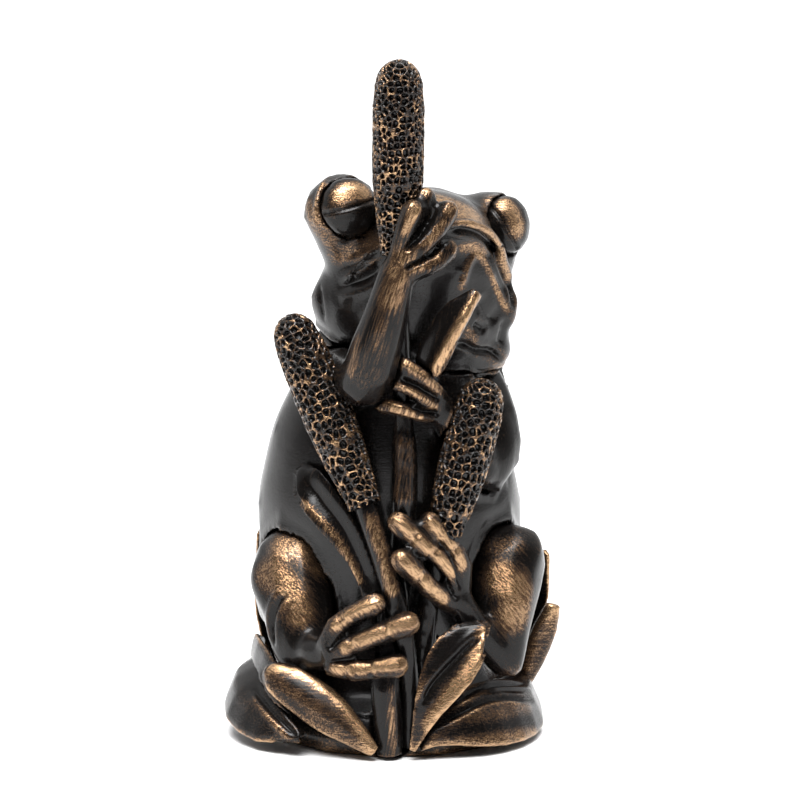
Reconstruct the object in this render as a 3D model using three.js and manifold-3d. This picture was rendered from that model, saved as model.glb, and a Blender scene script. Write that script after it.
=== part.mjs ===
// A frog sitting on a mound of leaves and hugging three cattails, cast in resin with a bronze finish,
// with a blind sleeve in its underside so that it tops a garden stake.
// Millimetres, +Z up, and the frog faces -Y. Right and left are the frog's own, so its right side is at -X.
// Every casting is laid out at full form first, and each later one is then cut back from the earlier ones
// by the bond gap, so that limbs, stems and leaves end as spigots in matching pockets.
import * as THREE from "three";
import { mergeVertices } from "three/addons/utils/BufferGeometryUtils.js";
import Module from "manifold-3d";

const wasm = await Module();
wasm.setup();

// Driving dimensions

const BOND_GAP = 0.3; // glue line between neighbouring castings

const STAKE_BORE = 10.5; // takes a 10 mm garden stake
const SLEEVE_WALL = 1.2;
const SLEEVE_DEPTH = 38; // from the underside to the stop
const SLEEVE_RECESS = 0.6; // the sleeve's rim sits this far up inside the underside

const BASE_HEIGHT = 12;
const BASE_HALF_WIDTH = 31;
const BASE_HALF_DEPTH = 30.5;

const STEM_RADIUS = 2.8;
const STEM_SPIGOT = 7; // how far a stem runs up inside its cattail
const CATTAIL_RADIUS = 5.9;
const CENTRE_CATTAIL_LENGTH = 42;
const RIGHT_CATTAIL_LENGTH = 45;
const LEFT_CATTAIL_LENGTH = 35;
const PIT_DEPTH = 0.8; // pits in a cattail's face
const PIT_ROW = 2.7; // from one row of pits to the next
const PITS_ROUND = 10; // pits in a row

const LEAF_THICKNESS = 2;
const BLADE_THICKNESS = 3.2;
const CHIN_LEAF_THICKNESS = 3.8;

const RIGHT_FINGER_RADIUS = 2.4;
const LEFT_FINGER_RADIUS = 1.9;
const TOE_RADIUS = 2.7;
const PAD_SHARE = 1.2; // radius of a finger or toe pad over that of the digit
const WRIST_RADIUS = 4.1;
const ELBOW_RADIUS = 6.2;
const ANKLE_RADIUS = 4.4;
const KNEE_RADIUS = 9.8;
const HIP_RADIUS = 9.8;

const EYE_RADIUS = 6.7;
const EYE_REACH = 4.7; // the eyeball's radius along the way it looks, so that only a dome shows
const TURRET_RADIUS = 8.7; // the bulge that carries an eye
const TURRET_FOOT_SHARE = 0.8; // radius of a turret's foot over that at its eye
const NECK_RADIUS = 7; // the head's spigot in the torso
const LIP_RADIUS = 1.7; // roll of the upper lip
const MOUTH_OPENING = 1.8; // width of the parting under it

// Facets round each kind of form
const SIDES = { fine: 6, stem: 7, limb: 9, ball: 11, round: 12, body: 15 };

// Solids and skins

const vector = (p) => new THREE.Vector3(p[0], p[1], p[2]);
const degrees = THREE.MathUtils.degToRad;

// A closed three.js geometry as a solid that can be joined and cut.
function solidOf(geometry) {
  const bare = geometry.index ? geometry.toNonIndexed() : geometry.clone();
  for (const name of Object.keys(bare.attributes)) {
    if (name !== "position") bare.deleteAttribute(name);
  }
  const merged = mergeVertices(bare, 1e-4);
  return new wasm.Manifold(
    new wasm.Mesh({
      numProp: 3,
      vertProperties: merged.attributes.position.array,
      triVerts: new Uint32Array(merged.index.array),
    }),
  );
}

const join = (solids) => solids.reduce((all, one) => all.add(one));

// The largest body of a solid, because a cut can leave a crumb behind.
function largest(solid) {
  return solid.decompose().reduce((best, one) => (one.volume() > best.volume() ? one : best));
}

// A closed skin over rings of equal point counts, each end closed by a fan to the middle of its ring.
// Every quad is split the same way, or in a lattice every second one the other way.
function skinOver(rings, lattice = false) {
  const count = rings[0].length;
  const points = rings.flat();
  const faces = [];
  for (let r = 0; r + 1 < rings.length; r++) {
    for (let k = 0; k < count; k++) {
      const a = r * count + k;
      const b = r * count + ((k + 1) % count);
      if (lattice && (r + k) % 2 === 1) faces.push(a, b, a + count, b, b + count, a + count);
      else faces.push(a, b, b + count, a, b + count, a + count);
    }
  }
  const close = (ring, first, forward) => {
    const middle = ring.reduce((sum, p) => sum.add(p), new THREE.Vector3()).divideScalar(count);
    points.push(middle);
    for (let k = 0; k < count; k++) {
      const a = first + k;
      const b = first + ((k + 1) % count);
      faces.push(...(forward ? [a, b] : [b, a]), points.length - 1);
    }
  };
  close(rings[0], 0, false);
  close(rings.at(-1), (rings.length - 1) * count, true);
  const geometry = new THREE.BufferGeometry();
  geometry.setAttribute("position", new THREE.Float32BufferAttribute(points.flatMap((p) => p.toArray()), 3));
  geometry.setIndex(faces);
  return geometry;
}

// Where a smooth path through stations stands, and which way it runs, at a share of its stations.
function pathThrough(stations) {
  const curve = new THREE.CatmullRomCurve3(stations.map(vector), false, "centripetal");
  return (t) => ({ centre: curve.getPoint(t), along: curve.getTangent(t).normalize() });
}

// A limb: a round or oval section that swells and tapers along a smooth path, with round ends.
// A station is [x, y, z, radius] or [x, y, z, radius towards X, radius across it].
function limb(stations, grow = 0, { sides = SIDES.limb, steps = 2, flatStart = false } = {}) {
  const CAP_ANGLES = [65, 35];
  const path = pathThrough(stations);
  const radii = new THREE.SplineCurve(stations.map((s) => new THREE.Vector2(s[3], s[4] ?? s[3])));
  const spans = (stations.length - 1) * steps;
  const cap = (t, way) => {
    const r = radii.getPoint(t);
    return CAP_ANGLES.map((angle) => ({
      t,
      shift: (Math.min(r.x, r.y) + grow) * Math.sin(degrees(angle)) * way,
      share: Math.cos(degrees(angle)),
    }));
  };
  const slices = [
    ...(flatStart ? [{ t: 0, shift: -grow, share: 1 }] : cap(0, -1)),
    ...Array.from({ length: spans + 1 }, (_, i) => ({ t: i / spans, shift: 0, share: 1 })),
    ...cap(1, 1).reverse(),
  ];
  if (flatStart && grow === 0) slices.shift();
  const up = new THREE.Vector3(1, 0, 0);
  const rings = slices.map(({ t, shift, share }) => {
    const { centre, along } = path(t);
    up.addScaledVector(along, -up.dot(along)).normalize();
    const across = along.clone().cross(up);
    const r = radii.getPoint(t);
    const middle = centre.addScaledVector(along, shift);
    return Array.from({ length: sides }, (_, k) => {
      const angle = (2 * Math.PI * k) / sides;
      return middle
        .clone()
        .addScaledVector(up, Math.cos(angle) * (r.x + grow) * share)
        .addScaledVector(across, Math.sin(angle) * (r.y + grow) * share);
    });
  });
  return solidOf(skinOver(rings));
}

// An oval ball.
function ball(centre, radii, grow = 0, turn = new THREE.Quaternion()) {
  const geometry = new THREE.SphereGeometry(1, SIDES.ball, Math.round(SIDES.ball / 2));
  geometry.rotateX(Math.PI / 2);
  geometry.scale(radii[0] + grow, radii[1] + grow, radii[2] + grow);
  geometry.applyQuaternion(turn);
  geometry.translate(...centre);
  return solidOf(geometry);
}

// A leaf: a sheet with a midrib that tapers along a smooth path. A station is [x, y, z, half width].
// faces holds the way the upper side looks at the root and at the tip. A positive fold lifts both edges
// into a channel, and a negative one drops them from a ridge.
function leaf(stations, { faces, thickness = LEAF_THICKNESS, fold = 0.35, steps = 2 }, grow = 0) {
  const ACROSS_FACE = [-1, -0.55, 0, 0.55, 1];
  const ACROSS_BACK = [-1, 0, 1];
  const EDGE_SHARE = 0.55; // thickness left at the edge
  const LEAST_HALF_WIDTH = 0.6;
  const path = pathThrough(stations);
  const widths = new THREE.SplineCurve(stations.map((s) => new THREE.Vector2(s[3], 0)));
  const spans = (stations.length - 1) * steps;
  const rings = [];
  for (let i = 0; i <= spans; i++) {
    const t = i / spans;
    const { centre, along } = path(t);
    const face = vector(faces[0]).lerp(vector(faces[1]), t);
    face.addScaledVector(along, -face.dot(along)).normalize();
    const across = face.clone().cross(along);
    const overrun = i === 0 ? -grow : i === spans ? grow : 0;
    const middle = centre.addScaledVector(along, overrun);
    const half = Math.max(widths.getPoint(t).x, LEAST_HALF_WIDTH);
    const point = (u, way) => {
      const thick = (thickness / 2) * (1 - (1 - EDGE_SHARE) * u * u) + grow * Math.hypot(1, fold);
      return middle
        .clone()
        .addScaledVector(across, u * (half + grow))
        .addScaledVector(face, fold * Math.abs(u) * half + way * thick);
    };
    const lower = ACROSS_BACK.map((u) => point(u, -1));
    const upper = ACROSS_FACE.map((u) => point(u, 1));
    rings.push([...lower, ...upper.reverse()]);
  }
  return solidOf(skinOver(rings));
}

// A turned form about an axis that starts at a foot. A profile point is [radius, distance along the axis].
function turned(profile, foot = [0, 0, 0], axis = new THREE.Vector3(0, 0, 1)) {
  const geometry = new THREE.LatheGeometry(profile.map((p) => new THREE.Vector2(...p)), SIDES.round);
  geometry.applyQuaternion(new THREE.Quaternion().setFromUnitVectors(new THREE.Vector3(0, 1, 0), axis));
  geometry.translate(...foot);
  return solidOf(geometry);
}

// Stake sleeve: a metal thimble, open at the bottom, that a stake pushes into.

const SLEEVE_RADIUS = STAKE_BORE / 2 + SLEEVE_WALL;
const SLEEVE_TOP = SLEEVE_DEPTH + SLEEVE_WALL;

// Grown, it is a plug, so that its neighbours leave the bore open as well.
function stakeSleeve(grow) {
  if (grow > 0) {
    const radius = SLEEVE_RADIUS + grow;
    const top = SLEEVE_TOP + grow;
    return turned([[0, -1], [radius, -1], [radius, top], [0, top]]);
  }
  return turned([
    [0, SLEEVE_DEPTH],
    [STAKE_BORE / 2, SLEEVE_DEPTH],
    [STAKE_BORE / 2, SLEEVE_RECESS],
    [SLEEVE_RADIUS, SLEEVE_RECESS],
    [SLEEVE_RADIUS, SLEEVE_TOP],
    [0, SLEEVE_TOP],
  ]);
}

// Cattails: each stem springs from the front of the mound, and its cattail is a blunt spindle on its top.

// A station is [x, y, z, share of the stem's radius].
const STEM_ROUTES = {
  centre: [
    [-1.1, -30.2, 0.6, 1.2], [-2, -30, 15, 1.3], [-0.6, -27, 29.5, 1.2], [1.8, -23, 46.5, 1.1],
    [2.2, -21, 61.5, 1], [1.6, -19.6, 76.5, 0.85], [0.9, -19.4, 94, 0.85], [0.5, -19.6, 108, 0.85],
  ],
  right: [
    [3.2, -27.6, 1.5, 0.9], [3.4, -28, 13, 0.9], [2.2, -29.4, 26, 0.9], [-0.6, -28.4, 37, 0.95],
    [-3.2, -26.5, 45.8, 1], [-6.2, -24, 54, 1],
  ],
  left: [
    [6, -26, 1.5, 1.1], [6, -25, 20, 1], [7, -23.5, 33, 1], [9, -22.4, 42, 1], [10.6, -22, 47.5, 1],
  ],
};
const CATTAIL_TIPS = { centre: [0.9, -20.2, 150], right: [-23.4, -13.6, 94.5], left: [19.4, -17.4, 79.5] };
const CATTAIL_LENGTHS = {
  centre: CENTRE_CATTAIL_LENGTH,
  right: RIGHT_CATTAIL_LENGTH,
  left: LEFT_CATTAIL_LENGTH,
};

const stemTop = (which) => vector(STEM_ROUTES[which].at(-1));
const cattailAxis = (which) => vector(CATTAIL_TIPS[which]).sub(stemTop(which)).normalize();

function stem(which, grow) {
  const route = STEM_ROUTES[which];
  const spigot = stemTop(which).addScaledVector(cattailAxis(which), STEM_SPIGOT).toArray();
  const stations = [...route, [...spigot, route.at(-1)[3]]];
  const sized = stations.map(([x, y, z, share]) => [x, y, z, STEM_RADIUS * share]);
  return limb(sized, grow, { sides: SIDES.stem, steps: 1, flatStart: true });
}

// Share of a cattail's length against share of its full radius, from the foot to the crown
const CATTAIL_SHAPE = [
  [0, 0.64], [0.1, 0.75], [0.22, 0.88], [0.42, 1], [0.76, 1], [0.92, 0.88], [0.98, 0.62], [1, 0.3],
];

function cattailRadius(share) {
  const next = Math.max(1, CATTAIL_SHAPE.findIndex(([along]) => along >= share));
  const [low, from] = CATTAIL_SHAPE[next - 1];
  const [high, to] = CATTAIL_SHAPE[next];
  return CATTAIL_RADIUS * THREE.MathUtils.mapLinear(share, low, high, from, to);
}

// A cattail has pits all over, each row staggered against the next. Grown, it is the plain form around them.
function cattail(which, grow) {
  const length = CATTAIL_LENGTHS[which];
  if (grow > 0) {
    const side = CATTAIL_SHAPE.map(([along, wide]) => [CATTAIL_RADIUS * wide + grow, length * along]);
    side[0][1] -= grow;
    side.at(-1)[1] += grow;
    return turned([[0, side[0][1]], ...side, [0, side.at(-1)[1]]], stemTop(which), cattailAxis(which));
  }
  const upright = new THREE.Quaternion().setFromUnitVectors(new THREE.Vector3(0, 0, 1), cattailAxis(which));
  const rows = Math.round(length / PIT_ROW);
  const rings = Array.from({ length: rows + 1 }, (_, row) =>
    Array.from({ length: 2 * PITS_ROUND }, (_, k) => {
      const plain = row === 0 || row === rows || (row + k) % 2 === 0;
      const radius = cattailRadius(row / rows) - (plain ? 0 : PIT_DEPTH);
      const angle = (Math.PI * k) / PITS_ROUND;
      const point = [radius * Math.cos(angle), radius * Math.sin(angle), (length * row) / rows];
      return vector(point).applyQuaternion(upright).add(stemTop(which));
    }),
  );
  return solidOf(skinOver(rings, true));
}

// Upright leaves among the stems.

const chinLeaf = (grow) =>
  leaf(
    [
      [5, -20.6, 76, 2.2], [7.4, -21.8, 84, 3], [10.4, -22.6, 90.4, 3.5], [14, -22.8, 96.2, 3],
      [18, -22.4, 100.6, 1],
    ],
    { faces: [[-0.5, -0.9, 0.1], [-0.7, -0.7, 0.1]], fold: 0.6, thickness: CHIN_LEAF_THICKNESS },
    grow,
  );

const flankLeaf = (grow) =>
  leaf(
    [
      [-1.6, -25.6, 22, 1.8], [-4.4, -25, 34, 2.4], [-7.8, -23, 43, 3], [-13.2, -20.4, 51, 4.4],
      [-18.6, -15.6, 57.4, 4.4], [-21, -12, 60.6, 1.6],
    ],
    { faces: [[-0.2, -1, 0.1], [-0.45, -0.8, 0.35]], fold: 0.3 },
    grow,
  );

// Arms: each runs from its shoulder in the torso, round the elbow, to a hand whose fingers wrap a stem.

// A finger or toe: slim, with a round pad at its end.
function digit(places, radius, grow) {
  const share = (i) => (i === places.length - 1 ? PAD_SHARE : 1);
  const stations = places.map((place, i) => [...place, radius * share(i)]);
  return limb(stations, grow, { sides: SIDES.fine, steps: 1, flatStart: true });
}

function rightArm(grow) {
  const arm = limb(
    [
      [-13, 2, 78.6, ELBOW_RADIUS], [-11.6, -11, 80.4, ELBOW_RADIUS], [-6.4, -22.6, 81.6, ELBOW_RADIUS],
      [-4, -25.8, 89, ELBOW_RADIUS * 0.92], [-1.1, -26.4, 98.6, ELBOW_RADIUS * 0.78],
      [0.6, -26.2, 105.6, WRIST_RADIUS], [1.4, -26.2, 107.6, WRIST_RADIUS * 0.85],
    ],
    grow,
  );
  const fingers = [
    [[2.2, -25, 108.6], [4.6, -24.2, 115.2], [6.2, -22.8, 120.6]],
    [[0.4, -26.4, 107.6], [2.1, -27.2, 114.6], [3.8, -26.6, 118.4]],
    [[0.7, -26.5, 106.4], [5.1, -26.9, 110.5], [8.3, -25.6, 113.4], [11, -23.4, 117.8]],
    [[2, -25.8, 104.6], [6.6, -25.6, 106.4], [9.1, -24.4, 107.5], [10.9, -22.8, 109.6]],
  ];
  return join([arm, ...fingers.map((places) => digit(places, RIGHT_FINGER_RADIUS, grow))]);
}

function leftArm(grow) {
  const arm = limb(
    [
      [16, 4, 78.4, ELBOW_RADIUS * 1.08], [19.4, -1.4, 73.4, ELBOW_RADIUS * 1.04],
      [21.8, -6.4, 65, ELBOW_RADIUS], [20.8, -9.4, 58.8, ELBOW_RADIUS * 0.9],
      [17.4, -13, 62.8, ELBOW_RADIUS * 0.8], [13.6, -16.8, 69, WRIST_RADIUS * 1.06],
      [10.4, -19, 74, WRIST_RADIUS * 0.95],
    ],
    grow,
  );
  const fingers = [
    [[10.8, -19.6, 75.8], [9, -22, 79], [6.2, -24.2, 82.4], [2, -23.8, 85]],
    [[9.8, -20.2, 74.9], [6.2, -24, 78.1], [2.2, -24.8, 80.6], [-1.5, -23, 81.6]],
    [[9.2, -20.2, 73], [5.4, -24, 74.4], [1.1, -24.9, 75.7], [-2.4, -23, 76.2]],
  ];
  return join([arm, ...fingers.map((places) => digit(places, LEFT_FINGER_RADIUS, grow))]);
}

// Legs: the thigh comes forward from the hip to a high knee, the shin drops to the ankle, and the foot
// reaches in to the stems with three toes.

function leg({ thigh, shin, foot, toes }, grow) {
  const limbs = [limb(thigh, grow), limb(shin, grow), limb(foot, grow, { flatStart: true })];
  return join([...limbs, ...toes.map((places) => digit(places, TOE_RADIUS, grow))]);
}

const RIGHT_LEG = {
  thigh: [[-18, 14, 20, HIP_RADIUS], [-21.6, 6, 26, HIP_RADIUS], [-22.2, -5.4, 36, KNEE_RADIUS]],
  shin: [
    [-21.8, -6.4, 36.4, KNEE_RADIUS], [-21, -13, 28.6, KNEE_RADIUS * 0.88],
    [-19.8, -17, 20.8, ANKLE_RADIUS * 1.65],
  ],
  foot: [
    [-18.6, -18, 20.6, ANKLE_RADIUS * 1.2], [-16.4, -24.6, 22, ANKLE_RADIUS],
    [-13.8, -28, 23.4, ANKLE_RADIUS * 0.75],
  ],
  toes: [
    [[-14.8, -28.8, 24.4], [-12.6, -30, 29.3], [-9.2, -30.6, 31.9], [-4.5, -31, 34.2]],
    [[-14.6, -29.6, 23], [-10.2, -32, 25], [-4.9, -33.4, 27.8], [2.6, -34, 30.8]],
    [[-14.4, -29.4, 20.6], [-8.5, -32.4, 20], [-3.2, -33.4, 20.9], [0.2, -33.6, 21.6]],
  ],
};

const LEFT_LEG = {
  thigh: [
    [18, 14, 20, HIP_RADIUS * 0.9], [22.6, 6, 27, HIP_RADIUS * 0.9], [24.2, -6, 37, KNEE_RADIUS * 0.92],
  ],
  shin: [
    [24.4, -6.8, 37.4, KNEE_RADIUS * 0.92], [24.2, -13.4, 29.6, KNEE_RADIUS * 0.72],
    [24.6, -17, 18, ANKLE_RADIUS * 0.9],
  ],
  foot: [
    [24.4, -17, 17.4, ANKLE_RADIUS * 0.9], [18.6, -19.8, 25, ANKLE_RADIUS * 0.8],
    [13.6, -22.2, 33.4, ANKLE_RADIUS * 0.75],
  ],
  toes: [
    [[13.4, -22.2, 34.8], [12.3, -24, 39.3], [9.7, -25.5, 43.2], [6.5, -26.5, 45.8], [0.9, -26.8, 51]],
    [[14.4, -21, 35.2], [14.5, -22, 40.6], [12.9, -23.4, 44.2], [7.8, -25, 50.6]],
    [[13.2, -23, 32], [10.6, -25, 33.8], [7.5, -27.6, 37.1], [1.7, -30, 43.6]],
  ],
};

// Head: the cranium stands upright on the torso. The face is built facing -Y about its own middle, then
// turned to look past the centre cattail.

const HEAD_PLACE = [3.2, -0.1, 104.6];
const HEAD_PITCH = -4;
const HEAD_ROLL = 10;
const HEAD_YAW = 20;
const HEAD_TURN = new THREE.Quaternion().setFromEuler(
  new THREE.Euler(degrees(HEAD_PITCH), degrees(HEAD_ROLL), degrees(HEAD_YAW), "ZYX"),
);
const EYE_PLACES = { right: [-17.4, -1, 8.2], left: [17.2, -1, 9] };
const TURRET_FEET = { right: [-14.6, 1, 1.2], left: [18.4, 0, 2.6] };
const EYE_LOOKS = { right: [-0.02, -0.98, 0.2], left: [0.56, -0.8, 0.2] };

const inHead = (p) => vector(p).applyQuaternion(HEAD_TURN).add(vector(HEAD_PLACE)).toArray();
const headBall = (p, radii, grow) => ball(inHead(p), radii, grow, HEAD_TURN);

// The turn that takes a form facing -Y to the way an eye looks.
function eyeTurn(which) {
  const look = vector(EYE_LOOKS[which]).normalize().applyQuaternion(HEAD_TURN);
  return new THREE.Quaternion().setFromUnitVectors(new THREE.Vector3(0, -1, 0), look);
}

function eye(which, grow) {
  const EYE_PROUD = 4.6; // how far the eyeball's middle stands forward of its turret's
  const place = vector(EYE_PLACES[which]).addScaledVector(vector(EYE_LOOKS[which]).normalize(), EYE_PROUD);
  return ball(inHead(place.toArray()), [EYE_RADIUS, EYE_REACH, EYE_RADIUS], grow, eyeTurn(which));
}

// A turret rises from the side of the head to its eye.
function turret(which, grow) {
  const foot = [...inHead(TURRET_FEET[which]), TURRET_RADIUS * TURRET_FOOT_SHARE];
  const crown = [...inHead(EYE_PLACES[which]), TURRET_RADIUS];
  return limb([foot, crown], grow, { sides: SIDES.ball, steps: 1 });
}

// The cranium swells from the nape and throat to the jowls and closes over the crown, on a neck that is
// a spigot in the torso.
function cranium(grow) {
  const neck = limb([[3, 3, 76, NECK_RADIUS], [3.4, 3, 92, NECK_RADIUS]], grow, { steps: 1 });
  const dome = limb(
    [
      [2.9, 3, 86, 21.8, 16.6], [3.9, 1.8, 91, 22.2, 17.8], [4, 1.6, 95.6, 22.6, 18.2],
      [4.3, 2.2, 100.8, 21, 17.6], [4.2, 2.8, 105, 19.4, 15.8], [3.8, 3, 108, 17.4, 12.4],
    ],
    grow,
    { sides: SIDES.body, steps: 1, flatStart: true },
  );
  return dome.add(neck);
}

// The mouth's line in the head's own frame, from the right corner over the crest to the left corner.
// A station is [x, y, z, share of the full roll].
const MOUTH_LINE = [
  [-16.4, -5.4, -9, 0.4], [-14.6, -9.6, -3.6, 0.6], [-7.4, -17.8, 4.4, 0.9], [0, -20.2, 7, 1],
  [5.4, -19.4, 7.6, 1], [10.4, -17, 6.6, 1], [15.6, -13, 3.2, 0.95], [20.4, -8.6, -2.6, 0.85],
  [23.8, -3, -9, 0.6],
];

// A roll along the mouth's line, raised or lowered from it.
function alongMouth(radius, rise, grow) {
  const stations = MOUTH_LINE.map(([x, y, z, share]) => [...inHead([x, y, z + rise]), radius * share]);
  return limb(stations, grow, { sides: SIDES.fine, steps: 1 });
}

function headForm(grow) {
  const snout = headBall([1.2, -7.4, 7.4], [14.5, 12.5, 8.5], grow);
  const jaw = headBall([3, -4, -1], [18, 14.5, 9.6], grow);
  const lip = alongMouth(LIP_RADIUS, LIP_RADIUS, grow);
  return join([cranium(grow), snout, jaw, lip, turret("right", grow), turret("left", grow)]);
}

// The parting of the lips, under the upper lip's roll.
const lipParting = () => alongMouth(MOUTH_OPENING / 2, -MOUTH_OPENING / 2, 0);

const head = (grow) => (grow > 0 ? headForm(grow) : headForm(0).subtract(lipParting()));

// Torso: an upright pear that carries the head, with its back towards +Y.

const torso = (grow) =>
  limb(
    [
      [0, 5, 9, 22, 20], [-0.5, 5.6, 20, 26.6, 23.4], [-1, 5.6, 35, 30, 24.4], [-1.4, 4.6, 50, 30.2, 23.6],
      [-0.8, 3.6, 64, 27.2, 21.4], [1.6, 3.4, 76, 23.4, 18.6], [2.9, 3, 86, 20.8, 15.8], [3.4, 3, 94, 16, 12],
    ],
    grow,
    { sides: SIDES.body, steps: 1, flatStart: true },
  );

// Leaves round the mound.

const LEAVES = {
  right_base_leaf: (grow) =>
    leaf(
      [
        [-30.4, 8, 12, 3], [-34.4, -4, 12.4, 5.8], [-33.8, -15, 10.2, 7], [-27.6, -25, 7.2, 5.8],
        [-20, -31, 4.6, 1.6],
      ],
      { faces: [[-0.8, 0.3, 0.6], [-0.5, -0.75, 0.55]], fold: -0.25 },
      grow,
    ),
  right_blade_leaf: (grow) =>
    leaf(
      [
        [-28.4, -22, 18, 2.2], [-26, -24.4, 17, 4], [-20.4, -27.8, 14, 4.8], [-13, -30.8, 9.2, 4.6],
        [-4, -32.8, 2, 1.6],
      ],
      { faces: [[-0.35, -0.85, 0.5], [-0.15, -0.9, 0.35]], fold: -0.2, thickness: BLADE_THICKNESS },
      grow,
    ),
  right_collar_leaf: (grow) =>
    leaf(
      [
        [-30, 8, 13, 4], [-31.4, -4, 15.6, 5.4], [-28.6, -15, 15.4, 5], [-25, -23, 12.6, 3.4],
        [-22, -28, 9.4, 1],
      ],
      { faces: [[-0.95, 0.3, 0.2], [-0.6, -0.75, 0.35]], fold: 0.15 },
      grow,
    ),
  left_fold_leaf: (grow) =>
    leaf(
      [
        [3.6, -32.6, 2, 1], [7.2, -31.4, 11.6, 3.6], [11.8, -29.5, 19.6, 6], [16.4, -27.2, 25.4, 5],
        [20.4, -25.4, 29, 1],
      ],
      { faces: [[0.1, -0.95, 0.3], [-0.15, -0.85, 0.5]], fold: 0.4 },
      grow,
    ),
  left_base_leaf: (grow) =>
    leaf(
      [
        [4.4, -32.8, 2.6, 1], [10, -31, 6.6, 4.2], [17.6, -27.6, 9, 7.4], [25.2, -20.6, 9, 8.2],
        [29.6, -10, 8.2, 7.2], [29.6, 4, 8, 4],
      ],
      { faces: [[0.2, -0.8, 0.6], [0.75, -0.1, 0.65]], fold: -0.3 },
      grow,
    ),
  left_back_blade: (grow) =>
    leaf(
      [
        [BASE_HALF_WIDTH - 3, 9, 4, 2], [BASE_HALF_WIDTH, 8.6, 11, 3],
        [BASE_HALF_WIDTH + 3, 8.2, 18.6, 3], [BASE_HALF_WIDTH + 4.8, 8, 24.6, 1.8],
      ],
      { faces: [[0.3, -0.95, 0.1], [0.3, -0.95, 0.1]], fold: -0.2, thickness: BLADE_THICKNESS },
      grow,
    ),
  left_back_leaf: (grow) =>
    leaf(
      [[24, 22, 4, 3], [28.4, 19.6, 16, 5], [32.2, 15, 27, 4.4], [34, 11, 36, 1.4]],
      { faces: [[0.8, 0.5, 0], [0.8, 0.3, 0.1]], fold: 0.2 },
      grow,
    ),
  right_back_leaf: (grow) =>
    leaf(
      [[-24, 22, 4, 3], [-27.6, 19, 16, 5], [-29.4, 13, 29, 4.6], [-30.2, 8, 41.5, 1.4]],
      { faces: [[-0.8, 0.5, 0], [-0.9, 0.2, 0.1]], fold: 0.2 },
      grow,
    ),
  right_rear_leaf: (grow) =>
    leaf(
      [[-30, 8, 6, 2], [-27, 19, 8, 6.4], [-17, 28, 7.4, 6.8], [-6, 31, 4.6, 1.2]],
      { faces: [[-0.8, 0.2, 0.6], [-0.2, 0.85, 0.5]], fold: -0.25 },
      grow,
    ),
  left_rear_leaf: (grow) =>
    leaf(
      [[29, 11, 6, 2], [26, 20, 8, 6], [16, 28, 7.4, 6.6], [4, 31.4, 4.6, 1.2]],
      { faces: [[0.8, 0.2, 0.6], [0.2, 0.85, 0.5]], fold: -0.25 },
      grow,
    ),
};

// Mound: a low rounded plinth with a flat underside.

function mound(grow) {
  const PROFILE = [[0, 0.98], [0.3, 1], [0.7, 0.92], [1, 0.72]]; // share of the height, share of the plan
  const stations = PROFILE.map(([rise, spread]) => [
    0, -1.4, BASE_HEIGHT * rise, BASE_HALF_WIDTH * spread, BASE_HALF_DEPTH * spread,
  ]);
  return limb(stations, grow, { sides: SIDES.body, steps: 1, flatStart: true });
}

// Assembly: in the order that each casting is seated, so a piece is cut back only from those before it.

const RESIN = { color: 0x1b1815, roughness: 0.45, metalness: 0.35 };
const BRONZE = { color: 0x4a3420, roughness: 0.4, metalness: 0.6 };
const STEEL = { color: 0x8b8d90, roughness: 0.35, metalness: 0.9 };

const PIECES = [
  ["stake_sleeve", stakeSleeve, STEEL],
  ["right_stem", (grow) => stem("right", grow), RESIN],
  ["centre_stem", (grow) => stem("centre", grow), RESIN],
  ["left_stem", (grow) => stem("left", grow), RESIN],
  ["centre_cattail", (grow) => cattail("centre", grow), BRONZE],
  ["right_cattail", (grow) => cattail("right", grow), BRONZE],
  ["left_cattail", (grow) => cattail("left", grow), BRONZE],
  ["right_arm", rightArm, BRONZE],
  ["left_arm", leftArm, BRONZE],
  ["right_leg", (grow) => leg(RIGHT_LEG, grow), BRONZE],
  ["left_leg", (grow) => leg(LEFT_LEG, grow), BRONZE],
  ["chin_leaf", chinLeaf, BRONZE],
  ["flank_leaf", flankLeaf, RESIN],
  ["right_eye", (grow) => eye("right", grow), BRONZE],
  ["left_eye", (grow) => eye("left", grow), BRONZE],
  ["head", head, RESIN],
  ...Object.entries(LEAVES).map(([name, form]) => [name, form, RESIN]),
  ["torso", torso, RESIN],
  ["base_mound", mound, RESIN],
];

// Everything stands on the ground plane, so what would dip below it is cut flat.
const DIG = 60;
const GROUND_SIDE = 300;
const ground = solidOf(new THREE.BoxGeometry(GROUND_SIDE, GROUND_SIDE, DIG).translate(0, 0, -DIG / 2));

function meshOf(name, solid, finish) {
  const { numProp, numVert, vertProperties, triVerts } = solid.getMesh();
  const positions = new Float32Array(numVert * 3);
  for (let i = 0; i < numVert; i++) {
    positions.set(vertProperties.subarray(i * numProp, i * numProp + 3), i * 3);
  }
  const geometry = new THREE.BufferGeometry();
  geometry.setAttribute("position", new THREE.BufferAttribute(positions, 3));
  geometry.setIndex(new THREE.BufferAttribute(triVerts, 1));
  geometry.computeVertexNormals();
  const mesh = new THREE.Mesh(geometry, new THREE.MeshStandardMaterial(finish));
  mesh.name = name;
  return mesh;
}

const figure = new THREE.Group();
const seated = [ground];
for (const [name, form, finish] of PIECES) {
  const cut = seated.reduce((solid, neighbour) => solid.subtract(neighbour), form(0));
  figure.add(meshOf(name, largest(cut), finish));
  seated.push(form(BOND_GAP));
}

// The origin is the middle of the figure's outline, on the surface it stands on.
const outline = new THREE.Box3().setFromObject(figure);
const middle = outline.getCenter(new THREE.Vector3());
figure.position.set(-middle.x, -middle.y, -outline.min.z);

const part = new THREE.Group();
part.add(figure);
export default part;
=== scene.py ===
import math

import bmesh
import bpy
import numpy as np
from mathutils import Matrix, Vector
from mathutils.bvhtree import BVHTree


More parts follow.
